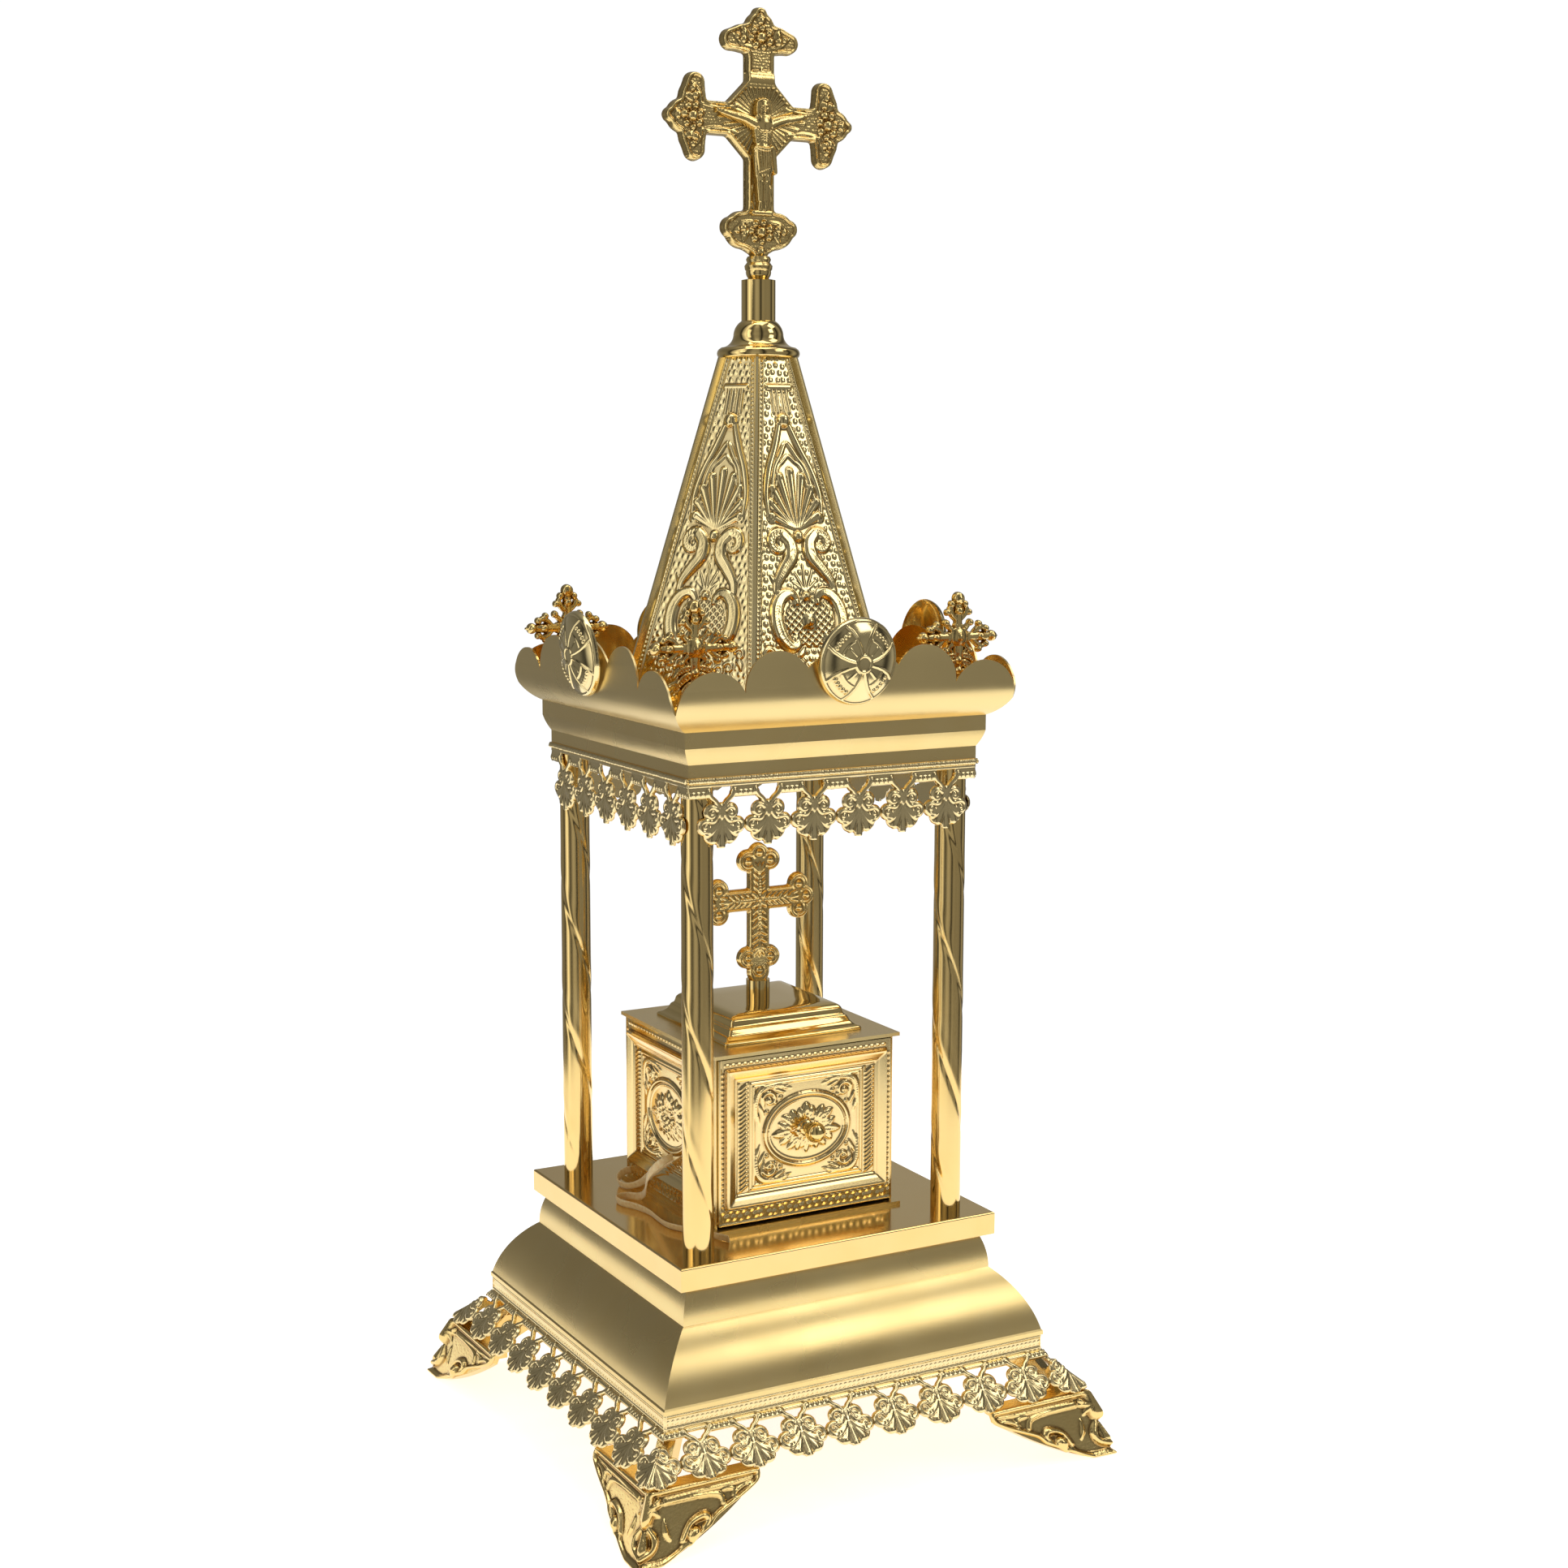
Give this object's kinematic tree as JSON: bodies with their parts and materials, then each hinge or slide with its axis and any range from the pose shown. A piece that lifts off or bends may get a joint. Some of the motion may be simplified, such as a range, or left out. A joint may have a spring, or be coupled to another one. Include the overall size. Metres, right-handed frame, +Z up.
{
  "type": "altar tabernacle",
  "caption": "Gold-plated altar tabernacle: small drawer chest topped by a cross under a four-column canopy with an embossed spire and a finial crucifix.",
  "frame": {"origin": "on the resting plane under the toes of the feet, at the middle of the object's plan", "axes": "+Z up through the finial crucifix, -Y out of the drawer front, +X to the right of someone facing the drawer"},
  "size_m": [0.21, 0.21, 0.5644],
  "materials": {
    "satin_gold": "satin gold-plated brass sheet, fine brushed grain",
    "polished_gold": "mirror-polished gold-plated brass",
    "embossed_gold": "embossed gold-plated brass sheet, bright on the relief and darker in the hollows",
    "cast_gold": "gold-plated brass casting, softly polished",
    "steel_fastener": "plain zinc-bright steel",
    "ribbon": "narrow woven tan ribbon, slightly sheened"
  },
  "bodies": {
    "tabernacle": {"base_bottom_frame": "satin_gold", "base_moulding_back": "satin_gold", "base_moulding_front": "satin_gold", "base_moulding_left": "satin_gold", "base_moulding_right": "satin_gold", "base_top_plate": "polished_gold", "canopy_ceiling": "satin_gold", "chest_base": "satin_gold", "chest_case": "embossed_gold", "chest_cross": "cast_gold", "chest_cross_socket": "polished_gold", "chest_cushion": "satin_gold", "chest_top_plate": "satin_gold", "column_back_left": "polished_gold", "column_back_right": "polished_gold", "column_front_left": "polished_gold", "column_front_right": "polished_gold", "corner_crosses": "cast_gold", "cornice_back": "satin_gold", "cornice_front": "satin_gold", "cornice_left": "satin_gold", "cornice_right": "satin_gold", "drawer_runners": "satin_gold", "finial_cross": "cast_gold", "finial_nut": "steel_fastener", "finial_rod": "steel_fastener", "finial_socket": "polished_gold", "foot_back_left": "cast_gold", "foot_back_right": "cast_gold", "foot_front_left": "cast_gold", "foot_front_right": "cast_gold", "foot_screws": "steel_fastener", "gallery_back": "satin_gold", "gallery_front": "satin_gold", "gallery_left": "satin_gold", "gallery_right": "satin_gold", "key_ribbon": "ribbon", "lower_border_back": "embossed_gold", "lower_border_front": "embossed_gold", "lower_border_left": "embossed_gold", "lower_border_right": "embossed_gold", "medallions": "polished_gold", "spire_cap": "polished_gold", "spire_panel_1": "embossed_gold", "spire_panel_2": "embossed_gold", "spire_panel_3": "embossed_gold", "spire_panel_4": "embossed_gold", "spire_panel_5": "embossed_gold", "spire_panel_6": "embossed_gold", "spire_ribs": "embossed_gold", "tie_rod_nuts": "steel_fastener", "tie_rods": "steel_fastener", "upper_border_back": "embossed_gold", "upper_border_front": "embossed_gold", "upper_border_left": "embossed_gold", "upper_border_right": "embossed_gold"},
    "drawer": {"drawer_front": "embossed_gold", "drawer_tray": "satin_gold", "drawer_knob": "polished_gold", "drawer_knob_screw": "steel_fastener"}
  },
  "joints": [
    {"name": "drawer_slide", "type": "slide", "parent": "tabernacle", "child": "drawer", "axis": [0, -1, 0], "range_m": [0, 0.052]}
  ]
}
